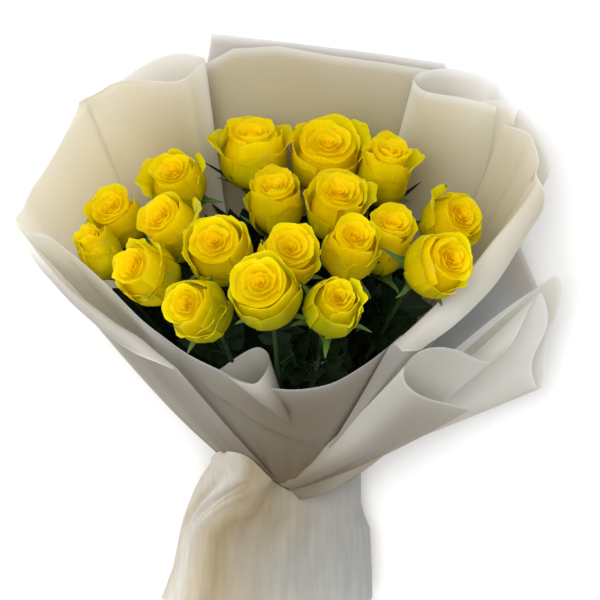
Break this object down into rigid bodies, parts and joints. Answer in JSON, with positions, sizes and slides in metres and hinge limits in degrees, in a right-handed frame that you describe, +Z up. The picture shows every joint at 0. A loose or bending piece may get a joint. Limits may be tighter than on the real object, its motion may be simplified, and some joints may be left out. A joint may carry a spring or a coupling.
{
  "type": "bouquet of roses",
  "caption": "Hand-tied bouquet of cut roses in frosted film, lying on its back, with folded and rolled film sheets round the flowers and a film handle round the stems.",
  "frame": {"origin": "middle of the flat underside of the outer back sheet, on the surface that the bouquet lies on", "axes": "+Y from the tie towards the flowers, the bouquet's length; +Z up, out of the bouquet's front; +X to the right as seen from the front"},
  "size_m": [0.4363, 0.4962, 0.27],
  "materials": {
    "petal_yellow": "matte soft petals, bright yellow with a warmer centre",
    "stem_green": "satin green rose stems",
    "leaf_green": "satin dark green leaves",
    "frosted_film": "translucent frosted off-white film",
    "band_white": "matte off-white tape"
  },
  "bodies": {
    "root": {"rose_head_01": "petal_yellow", "rose_head_02": "petal_yellow", "rose_head_03": "petal_yellow", "rose_head_04": "petal_yellow", "rose_head_05": "petal_yellow", "rose_head_06": "petal_yellow", "rose_head_07": "petal_yellow", "rose_head_08": "petal_yellow", "rose_head_09": "petal_yellow", "rose_head_10": "petal_yellow", "rose_head_11": "petal_yellow", "rose_head_12": "petal_yellow", "rose_head_13": "petal_yellow", "rose_head_14": "petal_yellow", "rose_head_15": "petal_yellow", "rose_head_16": "petal_yellow", "rose_head_17": "petal_yellow", "rose_head_18": "petal_yellow", "rose_head_19": "petal_yellow", "rose_stem_01": "stem_green", "rose_stem_02": "stem_green", "rose_stem_03": "stem_green", "rose_stem_04": "stem_green", "rose_stem_05": "stem_green", "rose_stem_06": "stem_green", "rose_stem_07": "stem_green", "rose_stem_08": "stem_green", "rose_stem_09": "stem_green", "rose_stem_10": "stem_green", "rose_stem_11": "stem_green", "rose_stem_12": "stem_green", "rose_stem_13": "stem_green", "rose_stem_14": "stem_green", "rose_stem_15": "stem_green", "rose_stem_16": "stem_green", "rose_stem_17": "stem_green", "rose_stem_18": "stem_green", "rose_stem_19": "stem_green", "leaf_01": "leaf_green", "leaf_02": "leaf_green", "leaf_03": "leaf_green", "leaf_04": "leaf_green", "leaf_05": "leaf_green", "leaf_06": "leaf_green", "leaf_07": "leaf_green", "leaf_08": "leaf_green", "leaf_09": "leaf_green", "leaf_10": "leaf_green", "leaf_11": "leaf_green", "stem_band": "band_white", "wrap_back_sheet": "frosted_film", "wrap_back_lining": "frosted_film", "wrap_front_sheet": "frosted_film", "wrap_left_sheet": "frosted_film", "wrap_right_sheet": "frosted_film", "wrap_right_flap": "frosted_film", "wrap_handle": "frosted_film"}
  },
  "joints": []
}
